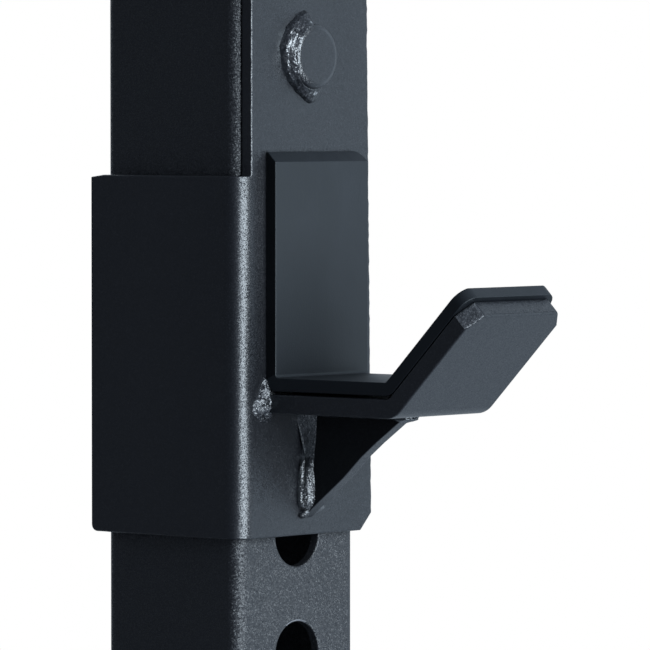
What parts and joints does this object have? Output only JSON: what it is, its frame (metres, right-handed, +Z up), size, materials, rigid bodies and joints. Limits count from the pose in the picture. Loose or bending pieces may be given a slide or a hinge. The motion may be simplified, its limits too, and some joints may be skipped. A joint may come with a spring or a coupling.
{
  "type": "power rack",
  "caption": "Free-standing power rack: perforated square-tube uprights, rails, cross members, pull-up bar, swing-off bar hooks with lined saddles, and pull-out safety rods.",
  "frame": {"origin": "on the floor, at the centre of the bounding box seen from above", "axes": "+Z up, +Y from the front, where the hooks are, to the rear, +X to the right as seen from the front"},
  "size_m": [1.315, 1.2104, 2.271],
  "materials": {
    "frame_coating": "charcoal powder coat, fine texture, faint metallic sparkle",
    "hook_coating": "charcoal powder coat, fine texture, over rough welds",
    "liner_plastic": "satin, dense wear plastic",
    "cap_plastic": "matt moulded plastic",
    "fastener_steel": "dark zinc plated",
    "rod_steel": "drawn bar, satin nickel plated",
    "grip_rubber": "matt, ribbed"
  },
  "bodies": {
    "frame": {"upright_front_left": "frame_coating", "upright_front_right": "frame_coating", "upright_rear_left": "frame_coating", "upright_rear_right": "frame_coating", "foot_plate_front_left": "frame_coating", "foot_plate_front_right": "frame_coating", "foot_plate_rear_left": "frame_coating", "foot_plate_rear_right": "frame_coating", "top_cap_front_left": "cap_plastic", "top_cap_front_right": "cap_plastic", "top_cap_rear_left": "cap_plastic", "top_cap_rear_right": "cap_plastic", "base_rail_left": "frame_coating", "base_rail_right": "frame_coating", "base_rail_left_end_plates": "frame_coating", "base_rail_right_end_plates": "frame_coating", "top_rail_left": "frame_coating", "top_rail_right": "frame_coating", "top_rail_left_end_plates": "frame_coating", "top_rail_right_end_plates": "frame_coating", "base_cross_member": "frame_coating", "base_cross_member_end_plates": "frame_coating", "top_cross_member": "frame_coating", "top_cross_member_end_plates": "frame_coating", "pull_up_bar": "frame_coating", "pull_up_bar_end_plates": "frame_coating", "base_rail_bolts": "fastener_steel", "base_rail_washers": "fastener_steel", "base_rail_nuts": "fastener_steel", "top_rail_bolts": "fastener_steel", "top_rail_washers": "fastener_steel", "top_rail_nuts": "fastener_steel", "cross_member_bolts": "fastener_steel", "cross_member_washers": "fastener_steel", "cross_member_nuts": "fastener_steel", "pull_up_bar_bolts": "fastener_steel", "pull_up_bar_washers": "fastener_steel", "pull_up_bar_nuts": "fastener_steel"},
    "hook_right": {"hook_bracket_right": "hook_coating", "hook_saddle_right": "hook_coating", "hook_gusset_right": "hook_coating", "hook_pin_right": "hook_coating", "hook_welds_right": "hook_coating", "hook_liner_right": "liner_plastic"},
    "hook_left": {"hook_bracket_left": "hook_coating", "hook_saddle_left": "hook_coating", "hook_gusset_left": "hook_coating", "hook_pin_left": "hook_coating", "hook_welds_left": "hook_coating", "hook_liner_left": "liner_plastic"},
    "rod_right": {"safety_rod_right": "rod_steel", "safety_rod_collar_right": "rod_steel", "safety_rod_grip_right": "grip_rubber"},
    "rod_left": {"safety_rod_left": "rod_steel", "safety_rod_collar_left": "rod_steel", "safety_rod_grip_left": "grip_rubber"}
  },
  "joints": [
    {"name": "hook_right_turn", "type": "hinge", "parent": "frame", "child": "hook_right", "pos_m": [0.5775, -0.48731, 1.4144], "axis": [0, 1, 0], "range_deg": [0, 100]},
    {"name": "hook_left_turn", "type": "hinge", "parent": "frame", "child": "hook_left", "pos_m": [-0.5775, -0.48731, 1.4144], "axis": [0, -1, 0], "range_deg": [0, 100]},
    {"name": "rod_right_pull", "type": "slide", "parent": "frame", "child": "rod_right", "axis": [0, -1, 0], "range_m": [0, 0.98]},
    {"name": "rod_left_pull", "type": "slide", "parent": "frame", "child": "rod_left", "axis": [0, -1, 0], "range_m": [0, 0.98]}
  ]
}
